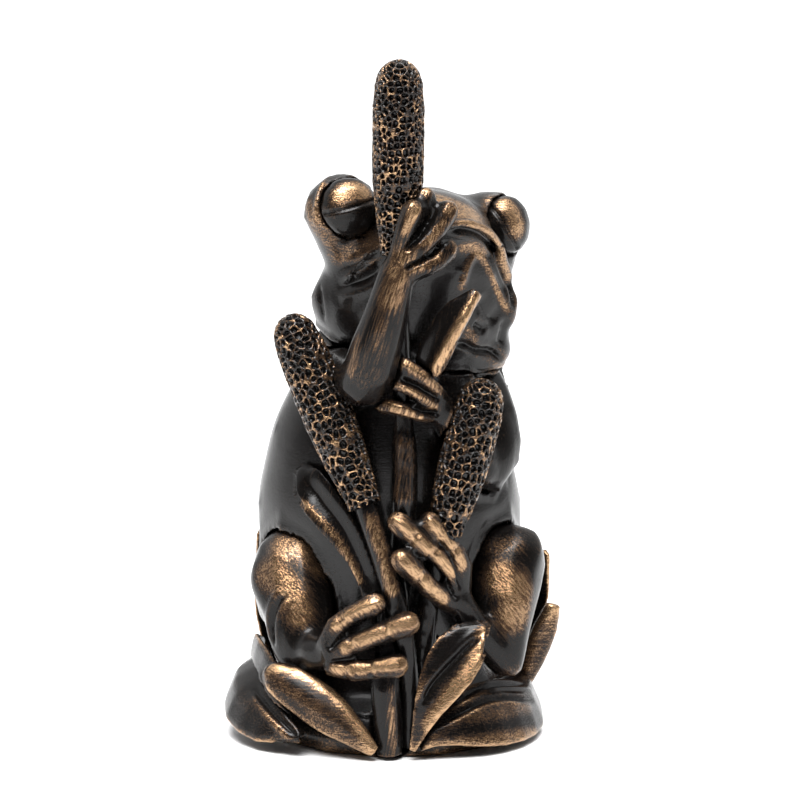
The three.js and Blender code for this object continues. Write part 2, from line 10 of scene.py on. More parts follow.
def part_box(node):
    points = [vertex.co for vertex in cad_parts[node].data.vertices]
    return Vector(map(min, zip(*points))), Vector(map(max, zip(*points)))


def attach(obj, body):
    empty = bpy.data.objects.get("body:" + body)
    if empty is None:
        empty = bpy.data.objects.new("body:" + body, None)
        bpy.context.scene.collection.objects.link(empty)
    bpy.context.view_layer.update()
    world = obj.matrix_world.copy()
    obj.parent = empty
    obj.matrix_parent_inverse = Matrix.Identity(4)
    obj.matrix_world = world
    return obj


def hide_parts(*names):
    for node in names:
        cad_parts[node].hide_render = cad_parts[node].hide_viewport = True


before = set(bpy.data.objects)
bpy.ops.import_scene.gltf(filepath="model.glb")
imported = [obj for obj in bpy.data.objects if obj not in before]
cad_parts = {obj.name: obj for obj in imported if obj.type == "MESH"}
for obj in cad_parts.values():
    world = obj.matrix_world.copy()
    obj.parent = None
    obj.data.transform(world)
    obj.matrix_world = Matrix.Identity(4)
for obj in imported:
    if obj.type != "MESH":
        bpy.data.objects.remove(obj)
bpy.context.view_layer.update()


# Camera, floor and light
# The figure stands on a plain pale floor in a soft white studio. The camera is where the photograph's
# was: square on to the frog, a little above it, with a long lens.
MM = 0.001
PHOTO_SIDE = 800
LENS = 158.3
SENSOR = 36.0
CAMERA_DISTANCE = 775 * MM
CAMERA_ELEVATION = math.radians(11)
LOOK_AT = Vector((1.1, 0.0, 72.8)) * MM
NEAREST = 0.01
FARTHEST = 50
FLOOR_HALF = 8.0
FLOOR_WHITE = (0.93, 0.93, 0.93, 1)
STUDIO_WHITE = (1.0, 1.0, 1.0, 1)
STUDIO_FRONT = (0.035, 0.035, 0.037, 1)
STUDIO_STRENGTH = 1.0
STUDIO_TURN = (-0.55, 0.30)

sleeve_low, sleeve_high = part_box("stake_sleeve")
stake_axis = (sleeve_low + sleeve_high) / 2
look_at = LOOK_AT + Vector((stake_axis.x, stake_axis.y, 0))
to_camera = Vector((0, -math.cos(CAMERA_ELEVATION), math.sin(CAMERA_ELEVATION)))

camera_data = bpy.data.cameras.new("photo_camera")
camera_data.lens = LENS
camera_data.sensor_width = SENSOR
camera_data.clip_start = NEAREST
camera_data.clip_end = FARTHEST
camera = bpy.data.objects.new("photo_camera", camera_data)
camera.location = look_at + to_camera * CAMERA_DISTANCE
camera.rotation_mode = "QUATERNION"
camera.rotation_quaternion = (-to_camera).to_track_quat("-Z", "Y")
bpy.context.collection.objects.link(camera)
bpy.context.scene.camera = camera
bpy.context.scene.view_settings.view_transform = "Standard"


def ray_through(pixel):
    """The camera's place and the direction through a pixel of the photograph, in millimetres."""
    half = SENSOR / 2 / LENS
    across = (pixel[0] / (PHOTO_SIDE / 2) - 1) * half
    upward = (1 - pixel[1] / (PHOTO_SIDE / 2)) * half
    right = Vector((1, 0, 0))
    up = right.cross(-to_camera)
    return camera.location / MM, (right * across + up * upward - to_camera).normalized()


def helpers_of(tree):
    """Helpers for a node tree: to add a node, wire two sockets, do a sum and map a range smoothly."""

    def add(kind, **values):
        node = tree.nodes.new(kind)
        for name, value in values.items():
            setattr(node, name, value)
        return node

    def wire(start, end):
        tree.links.new(start, end)

    def maths(kind, first, second):
        node = add("ShaderNodeMath", operation=kind)
        for socket, value in zip(node.inputs, (first, second)):
            if isinstance(value, float):
                socket.default_value = value
            else:
                wire(value, socket)
        return node.outputs[0]

    def ranged(value, low, high, to_low=0.0, to_high=1.0):
        node = add("ShaderNodeMapRange", interpolation_type="SMOOTHSTEP")
        for socket, number in zip(node.inputs[1:5], (low, high, to_low, to_high)):
            socket.default_value = number
        wire(value, node.inputs["Value"])
        return node.outputs[0]

    return add, wire, maths, ranged


def fresh_nodes(owner):
    """Empties the node tree of a material or a world and gives its helpers."""
    owner.use_nodes = True
    owner.node_tree.nodes.clear()
    return helpers_of(owner.node_tree)


floor_mesh = bpy.data.meshes.new("studio_floor")
floor_corners = [(-1, -1), (1, -1), (1, 1), (-1, 1)]
floor_places = [(x * FLOOR_HALF, y * FLOOR_HALF, 0) for x, y in floor_corners]
floor_mesh.from_pydata(floor_places, [], [(0, 1, 2, 3)])
floor = bpy.data.objects.new("studio_floor", floor_mesh)
bpy.context.collection.objects.link(floor)
floor_paper = bpy.data.materials.new("white_paper")
add, wire, *_ = fresh_nodes(floor_paper)
paper_shader = add("ShaderNodeBsdfDiffuse")
paper_shader.inputs["Color"].default_value = FLOOR_WHITE
wire(paper_shader.outputs["BSDF"], add("ShaderNodeOutputMaterial").inputs["Surface"])
floor_mesh.materials.append(floor_paper)

studio = bpy.data.worlds.new("white_studio")
bpy.context.scene.world = studio
add, wire, _, ranged = fresh_nodes(studio)
studio_place = add("ShaderNodeTexCoord")
studio_split = add("ShaderNodeSeparateXYZ")
studio_mix = add("ShaderNodeMix", data_type="RGBA")
studio_mix.inputs[6].default_value = STUDIO_FRONT
studio_mix.inputs[7].default_value = STUDIO_WHITE
studio_glow = add("ShaderNodeBackground")
studio_glow.inputs["Strength"].default_value = STUDIO_STRENGTH
wire(studio_place.outputs["Generated"], studio_split.inputs[0])
wire(ranged(studio_split.outputs["Y"], *STUDIO_TURN), studio_mix.inputs[0])
wire(studio_mix.outputs[2], studio_glow.inputs["Color"])
wire(studio_glow.outputs[0], add("ShaderNodeOutputWorld").inputs["Surface"])

SOFTBOX_PLACE = Vector((-0.06, -0.24, 0.80))
SOFTBOX_SIZE = 0.44
SOFTBOX_POWER = 9.0
softbox_lamp = bpy.data.lights.new("overhead_softbox", "AREA")
softbox_lamp.shape = "SQUARE"
softbox_lamp.size = SOFTBOX_SIZE
softbox_lamp.energy = SOFTBOX_POWER
softbox = bpy.data.objects.new("overhead_softbox", softbox_lamp)
softbox.location = SOFTBOX_PLACE
softbox.rotation_mode = "QUATERNION"
softbox.rotation_quaternion = (look_at - SOFTBOX_PLACE).to_track_quat("-Z", "Y")
bpy.context.collection.objects.link(softbox)

SKYLIGHT_POWER = 3.0
SKYLIGHT_SPREAD = math.radians(55)
SKYLIGHT_LEAN = math.radians(14)
skylight_lamp = bpy.data.lights.new("skylight", "SUN")
skylight_lamp.energy = SKYLIGHT_POWER
skylight_lamp.angle = SKYLIGHT_SPREAD
skylight = bpy.data.objects.new("skylight", skylight_lamp)
skylight.rotation_euler = (SKYLIGHT_LEAN, 0, 0)
bpy.context.collection.objects.link(skylight)


# Stake sleeve
# A thin drawn tube, zinc plated, that was set into the mould before the figure was cast round it.
# The garden stake pushes up into it from below, so only its mouth shows, in the underside.
ZINC_DARK = (0.28, 0.29, 0.30, 1)
ZINC_LIGHT = (0.52, 0.53, 0.54, 1)
ZINC_SPANGLE = 3 * MM
ZINC_SMOOTH = 0.35
ZINC_DULL = 0.55

zinc = bpy.data.materials.new("zinc_plate")
add, wire, *_ = fresh_nodes(zinc)
zinc_place = add("ShaderNodeTexCoord")
zinc_spangle = add("ShaderNodeTexVoronoi")
zinc_spangle.inputs["Scale"].default_value = 1 / ZINC_SPANGLE
zinc_mix = add("ShaderNodeMix", data_type="RGBA")
zinc_mix.inputs[6].default_value = ZINC_DARK
zinc_mix.inputs[7].default_value = ZINC_LIGHT
zinc_shader = add("ShaderNodeBsdfPrincipled")
zinc_shader.inputs["Metallic"].default_value = 1.0
zinc_rough = add("ShaderNodeMapRange")
zinc_rough.inputs["To Min"].default_value = ZINC_SMOOTH
zinc_rough.inputs["To Max"].default_value = ZINC_DULL
wire(zinc_place.outputs["Object"], zinc_spangle.inputs["Vector"])
wire(zinc_spangle.outputs["Distance"], zinc_mix.inputs[0])
wire(zinc_spangle.outputs["Distance"], zinc_rough.inputs["Value"])
wire(zinc_mix.outputs[2], zinc_shader.inputs["Base Color"])
wire(zinc_rough.outputs[0], zinc_shader.inputs["Roughness"])
wire(zinc_shader.outputs["BSDF"], add("ShaderNodeOutputMaterial").inputs["Surface"])
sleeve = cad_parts["stake_sleeve"]
sleeve.data.materials.clear()
sleeve.data.materials.append(zinc)


# Mound
# The low heap of earth and leaf litter under the frog, cast in resin in one pour with the figure.
# All cast pieces share a black-brown patina, dry-brushed with bronze where their forms stand proud.
MERGE = 1e-6
TINY = 1e-9
CURVE_SPANS = 10

# How the skins are averaged, and how far they are spared beside a seam
AVERAGE_ROUNDS = 2.2
OWN_SHARE = 0.1
SEAM_NEAR = 0.7
SEAM_FAR = 1.8
SEAM_SHAVE = 0.3

# Creases, pulls and strokes, as shares of their widths and reaches
FACING_LEAST = 0.1
CREASE_REACH = 3
CREASE_POWER = 1.5
LIP_PLACE = 1.5
LIP_WIDTH = 0.7
CALM_CORE = 0.4
PULL_TURN = (-0.3, 0.4)
STROKE_CORE = 0.25

# Rays that tell how open a point is
EXPOSURE_RAYS = 9
EXPOSURE_SPREAD = 0.85
EXPOSURE_START = 0.7
EXPOSURE_REACH = 9.0
EXPOSURE_SIDE = (0.36, 0.48, 0.8)

# The brush: reach of broad and fine forms, and the ranges over which it takes hold
BROAD_REACH = 3.0
FINE_REACH = 0.9
FINE_RANGE = (0.06, 0.30)
SWEPT_RANGE = (0.45, 0.95)
DABBED_RANGE = (0.15, 0.60)
BRUSH_BLUR = 0.5


def tree_of(names):
    """A search tree over the CAD pieces of these names, in millimetres."""
    points = []
    faces = []
    for name in names:
        shift = len(points)
        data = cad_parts[name].data
        points += [vertex.co / MM for vertex in data.vertices]
        faces += [[shift + corner for corner in face.vertices] for face in data.polygons]
    return BVHTree.FromPolygons(points, faces)


figure_tree = tree_of(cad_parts)


def smooth_step(values, low, high):
    """0 below low, 1 above high and a smooth rise between them."""
    share = np.clip((values - low) / (high - low), 0, 1)
    return share * share * (3 - 2 * share)


def curve_through(points):
    """A smooth line through the points, as a dense list of points."""
    points = np.asarray(points, float)
    ends = np.vstack([2 * points[0] - points[1], points, 2 * points[-1] - points[-2]])
    dense = []
    for a, b, c, d in zip(ends[:-3], ends[1:-2], ends[2:-1], ends[3:]):
        for t in np.arange(CURVE_SPANS) / CURVE_SPANS:
            dense.append(0.5 * (2 * b + (c - a) * t + (2 * a - 5 * b + 4 * c - d) * t**2
                                + (3 * b - a - 3 * c + d) * t**3))
    return np.array(dense + [points[-1]])


class Skin:
    """A fine skin over one cast piece, in millimetres. It is relaxed, creased and brushed, then cast."""

    def __init__(self, node, cell):
        self.node = node
        self.cell = cell
        blank = bmesh.new()
        blank.from_mesh(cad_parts[node].data)
        bmesh.ops.remove_doubles(blank, verts=blank.verts, dist=MERGE)
        bmesh.ops.scale(blank, vec=Vector((1, 1, 1)) / MM, verts=blank.verts)
        blank_mesh = bpy.data.meshes.new(node + "_blank")
        blank.to_mesh(blank_mesh)
        blank.free()
        holder = bpy.data.objects.new(node + "_blank", blank_mesh)
        bpy.context.collection.objects.link(holder)
        cells = holder.modifiers.new("even_cells", "REMESH")
        cells.mode = "VOXEL"
        cells.voxel_size = cell
        graph = bpy.context.evaluated_depsgraph_get()
        self.mesh = bpy.data.meshes.new_from_object(holder.evaluated_get(graph))
        bpy.data.objects.remove(holder)
        bpy.data.meshes.remove(blank_mesh)
        count = len(self.mesh.vertices)
        flat = np.empty(count * 3)
        self.mesh.vertices.foreach_get("co", flat)
        self.points = flat.reshape(-1, 3)
        pairs = np.empty(len(self.mesh.edges) * 2, int)
        self.mesh.edges.foreach_get("vertices", pairs)
        self.start, self.end = pairs.reshape(-1, 2).T
        self.degree = np.bincount(pairs, minlength=count)
        self.mesh.calc_loop_triangles()
        corners = np.empty(len(self.mesh.loop_triangles) * 3, int)
        self.mesh.loop_triangles.foreach_get("vertices", corners)
        self.faces = corners.reshape(-1, 3)
        self.bronze_and_highlight = np.zeros(count)
        self.refresh()

    def spread(self, values):
        """The mean of the neighbours of each point."""
        count = len(self.points)
        total = np.bincount(self.start, values[self.end], count)
        total += np.bincount(self.end, values[self.start], count)
        return total / self.degree

    def softened(self, points, reach):
        """The points after they are averaged over about this reach."""
        rounds = max(1, round(AVERAGE_ROUNDS * (reach / self.cell) ** 2))
        columns = [points[:, axis].copy() for axis in range(points.shape[1])]
        for _ in range(rounds):
            columns = [OWN_SHARE * column + (1 - OWN_SHARE) * self.spread(column) for column in columns]
        return np.stack(columns, 1)

    def apart(self, names):
        """0 beside the CAD pieces of these names and 1 away from them."""
        pieces = tree_of(names)
        nearest = [pieces.find_nearest(place, SEAM_FAR)[3] for place in self.points.tolist()]
        gaps = np.array([SEAM_FAR if gap is None else gap for gap in nearest])
        return smooth_step(gaps, SEAM_NEAR, SEAM_FAR)

    def relax(self, reach, shave, fill, tight=()):
        """Takes the facets out of the skin. Edges sink by shave at most, less beside the tight pieces.
        Hollows fill by fill at most."""
        sink = SEAM_SHAVE + (shave - SEAM_SHAVE) * self.apart(tight) if tight else shave
        move = self.softened(self.points, reach) - self.points
        most = np.where((move * self.normals).sum(1) > 0, fill, sink)
        far = np.linalg.norm(move, axis=1)
        self.points = self.points + move * np.minimum(1, most / np.maximum(far, TINY))[:, None]
        self.points = self.softened(self.points, self.cell)
        self.refresh()

    def refresh(self):
        """Sets the normals again after the points have moved."""
        a, b, c = (self.points[self.faces[:, corner]] for corner in range(3))
        flat = np.cross(b - a, c - a)
        count = len(self.points)
        total = np.zeros((count, 3))
        for corner in range(3):
            for axis in range(3):
                total[:, axis] += np.bincount(self.faces[:, corner], flat[:, axis], count)
        self.normals = total / np.maximum(np.linalg.norm(total, axis=1, keepdims=True), TINY)

    def under(self, pixels):
        """The line on this skin that lies under a line of the photograph's pixels, and the way it faces."""
        tree = BVHTree.FromPolygons(self.points.tolist(), self.faces.tolist())
        found = [tree.ray_cast(*ray_through(pixel)) for pixel in curve_through(pixels)]
        found = [hit for hit in found if hit[0] is not None]
        return np.array([hit[0] for hit in found]), np.array([hit[1] for hit in found])

    def beside(self, places):
        """The line on this skin that lies nearest to a line of places, and the way it faces."""
        tree = BVHTree.FromPolygons(self.points.tolist(), self.faces.tolist())
        found = [tree.find_nearest(place) for place in curve_through(places)]
        return np.array([hit[0] for hit in found]), np.array([hit[1] for hit in found])

    def along(self, line, facing, reach):
        """The points within reach of a line: their numbers, distances and shares of the way along it."""
        low, high = line.min(0) - reach, line.max(0) + reach
        near = np.nonzero(((self.points > low) & (self.points < high)).all(1))[0]
        best = np.full(len(near), np.inf)
        share = np.zeros(len(near))
        nearest = np.zeros(len(near), int)
        for number in range(len(line) - 1):
            step = line[number + 1] - line[number]
            if step @ step < TINY:
                continue
            away = self.points[near] - line[number]
            t = np.clip(away @ step / (step @ step), 0, 1)
            gap = np.linalg.norm(away - t[:, None] * step, axis=1)
            closer = gap < best
            best[closer] = gap[closer]
            share[closer] = (number + t[closer]) / (len(line) - 1)
            nearest[closer] = number
        keep = (best < reach) & ((self.normals[near] * facing[nearest]).sum(1) > FACING_LEAST)
        return near[keep], best[keep], share[keep]

    def press(self, line, facing, width, depth, lip=0.0, fade=0.15):
        """Presses a crease along a line, with a lip on both sides. A negative depth raises a ridge."""
        near, gap, share = self.along(line, facing, CREASE_REACH * width)
        ends = np.minimum(1, np.minimum(share, 1 - share) / fade) if fade else 1
        valley = -depth * np.clip(1 - gap / width, 0, 1) ** CREASE_POWER
        banks = lip * np.exp(-(((gap - LIP_PLACE * width) / (LIP_WIDTH * width)) ** 2))
        self.points[near] += self.normals[near] * ((valley + banks) * ends)[:, None]
        self.refresh()

    def crease(self, pixels, width, depth, lip=0.0, fade=0.15):
        """Presses a crease where the photograph shows one."""
        line, facing = self.under(pixels)
        if len(line) > 1:
            self.press(line, facing, width, depth, lip, fade)

    def calm(self, pixels, reach, width):
        """Averages the skin near a line of the photograph's pixels, where two CAD forms meet roughly."""
        line, facing = self.under(pixels)
        near, gap, _ = self.along(line, facing, width)
        share = smooth_step(-gap, -width, -CALM_CORE * width)[:, None]
        smooth = self.softened(self.points, reach)[near]
        self.points[near] += share * (smooth - self.points[near])
        self.refresh()

    def pull(self, pixel, reach, shift):
        """Draws out the side of the skin that faces the shift, near a pixel of the photograph."""
        start, way = (np.array(given) for given in ray_through(pixel))
        ahead = (self.points - start) @ way
        gap = np.linalg.norm(self.points - start - ahead[:, None] * way, axis=1)
        close = gap < gap.min() + 2 * self.cell
        place = self.points[close][np.argmin(ahead[close])]
        far = np.linalg.norm(self.points - place, axis=1)
        turned = self.normals @ shift / np.linalg.norm(shift)
        share = smooth_step(-far, -reach, 0) * smooth_step(turned, *PULL_TURN)
        self.points += share[:, None] * np.array(shift)
        self.refresh()

    def proud(self, reach):
        """How far each point stands proud of the form around it, as a share of the reach."""
        return ((self.points - self.softened(self.points, reach)) * self.normals).sum(1) / reach

    def open(self):
        """How open each point is to the brush, from 0 in a deep gap to 1 on a free surface."""
        turn = math.pi * (3 - math.sqrt(5))
        tall = 1 - (np.arange(EXPOSURE_RAYS) + 0.5) / EXPOSURE_RAYS * EXPOSURE_SPREAD
        wide = np.sqrt(1 - tall**2)
        fan = np.stack([wide * np.cos(turn * np.arange(EXPOSURE_RAYS)),
                        wide * np.sin(turn * np.arange(EXPOSURE_RAYS)), tall], 1)
        side = np.cross(self.normals, EXPOSURE_SIDE)
        side /= np.maximum(np.linalg.norm(side, axis=1, keepdims=True), TINY)
        other = np.cross(self.normals, side)
        free = np.zeros(len(self.points))
        starts = [Vector(place) for place in self.points + self.normals * EXPOSURE_START]
        for x, y, z in fan:
            ways = x * side + y * other + z * self.normals
            for number, (start, way) in enumerate(zip(starts, ways.tolist())):
                hit = figure_tree.ray_cast(start, way, EXPOSURE_REACH)
                free[number] += 1 if hit[0] is None else hit[3] / EXPOSURE_REACH
        return free / EXPOSURE_RAYS

    def stroke(self, line, facing, reach, amount):
        """Lays bronze along a line on the skin, fading out over the reach. Where a dab lays it over a
        highlight spot, it is a painted highlight.
        """
        near, gap, _ = self.along(line, facing, reach)
        laid = amount * smooth_step(-gap, -reach, -STROKE_CORE * reach)
        self.bronze_and_highlight[near] = np.maximum(self.bronze_and_highlight[near], laid)

    def dab(self, pixels, reach, amount):
        """Lays bronze where the photograph shows it. On the eye domes, fingertips, snout and knee tops this
        bronze is also a painted highlight.
        """
        line, facing = self.under(pixels)
        if len(line) > 1:
            self.stroke(line, facing, reach, amount)

    def brush(self, low=0.05, high=0.45, ridge=0.4):
        """Dry-brushes the skin: bronze stays on broad forms that stand proud and on fine open edges."""
        broad_share = smooth_step(self.proud(BROAD_REACH), low, high)
        fine_share = smooth_step(self.proud(FINE_REACH), *FINE_RANGE)
        open_share = self.open()
        swept = (broad_share + ridge * fine_share) * smooth_step(open_share, *SWEPT_RANGE)
        cover = np.maximum(self.bronze_and_highlight * smooth_step(open_share, *DABBED_RANGE), swept)
        self.bronze_and_highlight = np.clip(self.softened(cover[:, None], BRUSH_BLUR)[:, 0], 0, 1)

    def cast(self, material):
        """Makes the skin an object."""
        self.mesh.vertices.foreach_set("co", (self.points * MM).ravel())
        self.mesh.polygons.foreach_set("use_smooth", np.ones(len(self.mesh.polygons), bool))
        bronze_and_highlight = self.mesh.attributes.new("bronze_and_highlight", "FLOAT", "POINT")
        bronze_and_highlight.data.foreach_set("value", self.bronze_and_highlight.astype(np.float32))
        self.mesh.materials.clear()
        self.mesh.materials.append(material)
        self.mesh.update()
        made = bpy.data.objects.new(self.node + "_cast", self.mesh)
        bpy.context.collection.objects.link(made)
        return made

    def seat(self, made):
        """Puts the made object in the place of its CAD piece, under the root body, and hides the CAD piece.
        """
        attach(made, "root")
        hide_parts(self.node)


PATINA_BLACK = (0.0040, 0.0034, 0.0031, 1)
BRONZE_DARK = (0.036, 0.022, 0.014, 1)
BRONZE = (0.150, 0.086, 0.046, 1)
BRONZE_BRIGHT = (0.420, 0.265, 0.145, 1)
BRONZE_STOPS = [(0.25, BRONZE_DARK), (0.65, BRONZE)]

# How the noise is spread, how speckles, strokes and patches share it, and how the laid bronze, with its
# painted highlights, lifts it
CLOUD_ROUGHNESS = 0.6
CLOUD_RANGE = (0.35, 0.65)
PATCH_SIZE = 5
PATCH_RANGE = (0.30, 0.70)
PATCH_SHARE = 0.15
BROKEN_SHARE = 0.92
BARE_LOAD = 0.8
BRONZE_AND_HIGHLIGHT_LOAD = 0.2
BRONZE_AND_HIGHLIGHT_WEIGHT = 1.15
BRONZE_RANGE = (0.60, 1.85)

# The surface of the paint
GRAIN = 0.06
GRAIN_STRENGTH = 0.5
METAL_RANGE = (0.05, 0.45)
METAL = 0.8
ROUGHNESS = 0.24
COAT = 0.2
COAT_ROUGHNESS = 0.10


def patina(name, speckle=0.26, stroke_length=4.0, stroke_width=0.4, turn=(0, 0, 0), cover=1.0,
           streaky=0.42, gloss=0.10):
    """Black patina with dry-brushed bronze, in speckles and strokes, lifted where bronze, and in a few
    places painted highlights, were laid on the skin. Sizes are in millimetres and the turn of the strokes
    in degrees."""
    material = bpy.data.materials.new(name)
    add, wire, maths, ranged = fresh_nodes(material)
    place = add("ShaderNodeTexCoord").outputs["Object"]
    # The laid bronze; on the eye domes, fingertips, snout and knee tops it is also a painted highlight
    bronze_and_highlight = add("ShaderNodeAttribute", attribute_name="bronze_and_highlight").outputs["Fac"]

    def cloud(vector, scale, detail):
        node = add("ShaderNodeTexNoise")
        node.inputs["Scale"].default_value = scale
        node.inputs["Detail"].default_value = detail
        node.inputs["Roughness"].default_value = CLOUD_ROUGHNESS
        wire(vector, node.inputs["Vector"])
        return node.outputs["Fac"]

    strokes = add("ShaderNodeMapping", vector_type="TEXTURE")
    strokes.inputs["Rotation"].default_value = [math.radians(angle) for angle in turn]
    strokes.inputs["Scale"].default_value = Vector((stroke_length, stroke_width, stroke_width)) * MM
    wire(place, strokes.inputs["Vector"])
    fine = ranged(cloud(place, 1 / (speckle * MM), 1.0), *CLOUD_RANGE)
    patch = ranged(cloud(place, 1 / (PATCH_SIZE * MM), 1.0), *PATCH_RANGE)
    streak = ranged(cloud(strokes.outputs[0], 1.0, 2.0), *CLOUD_RANGE)
    speckles = maths("MULTIPLY", fine, BROKEN_SHARE - streaky)
    broken = maths("ADD", speckles, maths("MULTIPLY", streak, streaky))
    broken = maths("ADD", broken, maths("MULTIPLY", patch, PATCH_SHARE))
    loaded = maths("ADD", maths("MULTIPLY", bronze_and_highlight, BRONZE_AND_HIGHLIGHT_LOAD), BARE_LOAD)
    level = maths("ADD", maths("MULTIPLY", bronze_and_highlight, BRONZE_AND_HIGHLIGHT_WEIGHT * cover), maths("MULTIPLY", broken, loaded))
    mask = ranged(level, *BRONZE_RANGE)
    ramp = add("ShaderNodeValToRGB")
    stops = ramp.color_ramp.elements
    stops[0].color = PATINA_BLACK
    stops[1].color = BRONZE_BRIGHT
    for place_on_ramp, colour in BRONZE_STOPS:
        stops.new(place_on_ramp).color = colour
    wire(mask, ramp.inputs["Fac"])
    relief = add("ShaderNodeBump")
    relief.inputs["Strength"].default_value = GRAIN_STRENGTH
    relief.inputs["Distance"].default_value = GRAIN * MM
    wire(maths("ADD", broken, mask), relief.inputs["Height"])
    shader = add("ShaderNodeBsdfPrincipled")
    wire(ramp.outputs["Color"], shader.inputs["Base Color"])
    shader.inputs["Roughness"].default_value = ROUGHNESS
    shader.inputs["Specular IOR Level"].default_value = gloss
    shader.inputs["Coat Weight"].default_value = COAT
    shader.inputs["Coat Roughness"].default_value = COAT_ROUGHNESS
    wire(ranged(mask, *METAL_RANGE, 0.0, METAL), shader.inputs["Metallic"])
    wire(relief.outputs["Normal"], shader.inputs["Normal"])
    wire(shader.outputs["BSDF"], add("ShaderNodeOutputMaterial").inputs["Surface"])
    return material


MOUND_CELL = 0.6
mound_patina = patina("mound_patina", cover=0.8)
mound = Skin("base_mound", MOUND_CELL)
mound.relax(reach=1.2, shave=0.5, fill=0.5)
mound.brush()
mound.seat(mound.cast(mound_patina))


# Leaves on the mound
# Broad cattail leaves that lie over the mound and stand against the legs. Each has a rolled edge and a
# pressed midrib, was modelled in clay with the rest and cast with it, and caught bronze along its edges.
LEAF_CELL = 0.36
leaf_patina = patina("leaf_patina", stroke_length=6)

# Lines of the photograph's pixels along which a leaf's outline is rounded
LEAF_TIPS = {
    "right_base_leaf": [[(284, 744), (300, 738), (298, 726)]],
    "left_fold_leaf": [[(456, 630), (474, 624), (486, 628), (487, 648), (478, 668)]],
    "right_blade_leaf": [[(264, 672), (268, 664), (282, 663)]],
}
# Lines along which it is creased
LEAF_CREASES = {
    "right_base_leaf": [[(253, 688), (274, 714), (297, 737)]],
    "left_fold_leaf": [[(485, 630), (459, 656), (433, 685), (423, 705)]],
    "left_base_leaf": [[(436, 725), (488, 700), (534, 700)], [(446, 706), (486, 686), (526, 684)]],
}
# Lines along which it is brushed, with the brush's reach and its load
LEAF_BRUSHES = {
    "right_base_leaf": [([(240, 700), (262, 722), (285, 742)], 3.0, 0.2)],
    "right_blade_leaf": [([(270, 668), (290, 668), (330, 690), (352, 715), (373, 747)], 2.8, 1.0),
                         ([(275, 680), (315, 712), (350, 745)], 3.0, 0.5)],
    "left_fold_leaf": [([(487, 635), (478, 662), (452, 697), (425, 738)], 4.0, 1.0)],
    "left_base_leaf": [([(440, 746), (490, 741), (535, 734)], 3.0, 0.7),
                       ([(470, 718), (530, 708)], 2.5, 0.5)],
    "left_back_blade": [([(545, 612), (535, 640), (527, 665)], 3.0, 0.6)],
}
MOUND_LEAVES = ["right_base_leaf", "right_blade_leaf", "right_collar_leaf", "left_fold_leaf",
                "left_base_leaf", "left_back_blade", "left_back_leaf", "right_back_leaf",
                "right_rear_leaf", "left_rear_leaf"]
for node in MOUND_LEAVES:
    leaf = Skin(node, LEAF_CELL)
    leaf.relax(reach=1.0, shave=0.35, fill=0.5)
    for pixels in LEAF_TIPS.get(node, []):
        leaf.calm(pixels, reach=1.8, width=4.5)
    for pixels in LEAF_CREASES.get(node, []):
        leaf.crease(pixels, width=1.0, depth=0.7, lip=0.25)
    for pixels, reach, load in LEAF_BRUSHES.get(node, []):
        leaf.dab(pixels, reach, load)
    leaf.brush()
    leaf.seat(leaf.cast(leaf_patina))


# Torso
# The frog's barrel of a body, upright on its haunches, smooth and glossy, with little bronze on it.
# It is the core of the casting: the limbs, head and stems are seated in pockets of it.
TORSO_CELL = 0.6
TORSO_NEIGHBOURS = ("head", "right_arm", "left_arm", "right_leg", "left_leg")
NECK_EDGE = [(492, 362), (498, 366), (504, 374)]
SHOULDER_EDGE = [(504, 362), (507, 373), (508, 386)]
NECK_FOLDS = [[(452, 369), (466, 369), (475, 374), (486, 379), (494, 382)]]
NECK_PULLS = [((502, 372), 6.0, (1.2, 0, 0)), ((506, 384), 7.0, (1.0, 0, 0))]
# Two ridges and a shallow furrow down the frog's back, placed behind it in millimetres
BACK_RIDGES = [[(-10, 30, 90), (-13, 32, 74), (-15, 36, 56), (-12, 36, 38)],
               [(16, 30, 90), (17, 32, 74), (16, 36, 56), (12, 36, 38)]]
SPINE = [(4, 34, 88), (3, 36, 72), (1, 38, 54), (0, 38, 34)]
skin_patina = patina("skin_patina", cover=0.9, gloss=0.20)
torso = Skin("torso", TORSO_CELL)
torso.relax(reach=4.0, shave=0.8, fill=1.2, tight=TORSO_NEIGHBOURS)
for places in BACK_RIDGES:
    torso.press(*torso.beside(places), width=2.4, depth=-1.0, fade=0.3)
    torso.stroke(*torso.beside(places), reach=3.0, amount=0.55)
torso.press(*torso.beside(SPINE), width=2.0, depth=0.6, lip=0.2, fade=0.3)
torso.calm(NECK_EDGE, reach=1.6, width=3.0)
for pixel, reach, shift in NECK_PULLS:
    torso.pull(pixel, reach, shift)
torso.calm(SHOULDER_EDGE, reach=2.0, width=4.0)
for pixels in NECK_FOLDS:
    torso.crease(pixels, width=1.2, depth=0.9, lip=0.3)
torso.brush(low=0.15, high=0.6, ridge=0.1)
torso.seat(torso.cast(skin_patina))


# Legs
# Each hind leg is folded beside the body, thigh on shin, and the long toes wrap the stems.
# The knees and toes stand furthest out, so the brush left most bronze there; the bronze laid on top of each
# knee is also a painted highlight.
LEG_CELL = 0.4
leg_patina = patina("leg_patina", speckle=0.2, turn=(0, 50, 0), streaky=0.48)
KNEE_PULLS = {
    "right_leg": [((253, 586), 8.0, (-1.3, 0, 0))],
    "left_leg": [((530, 538), 9.0, (1.3, 0, 0.9))],
}
LEG_CREASES = {"right_leg": [[(286, 592), (276, 606), (272, 624), (274, 648)]], "left_leg": []}
TOE_GAPS = {
    "right_leg": [[(328, 650), (342, 637), (362, 626), (384, 615)],
                  [(329, 663), (351, 660), (376, 652), (397, 646)]],
    "left_leg": [[(460, 590), (457, 568), (447, 550), (434, 538)],
                 [(457, 600), (446, 582), (430, 566), (412, 550)]],
}
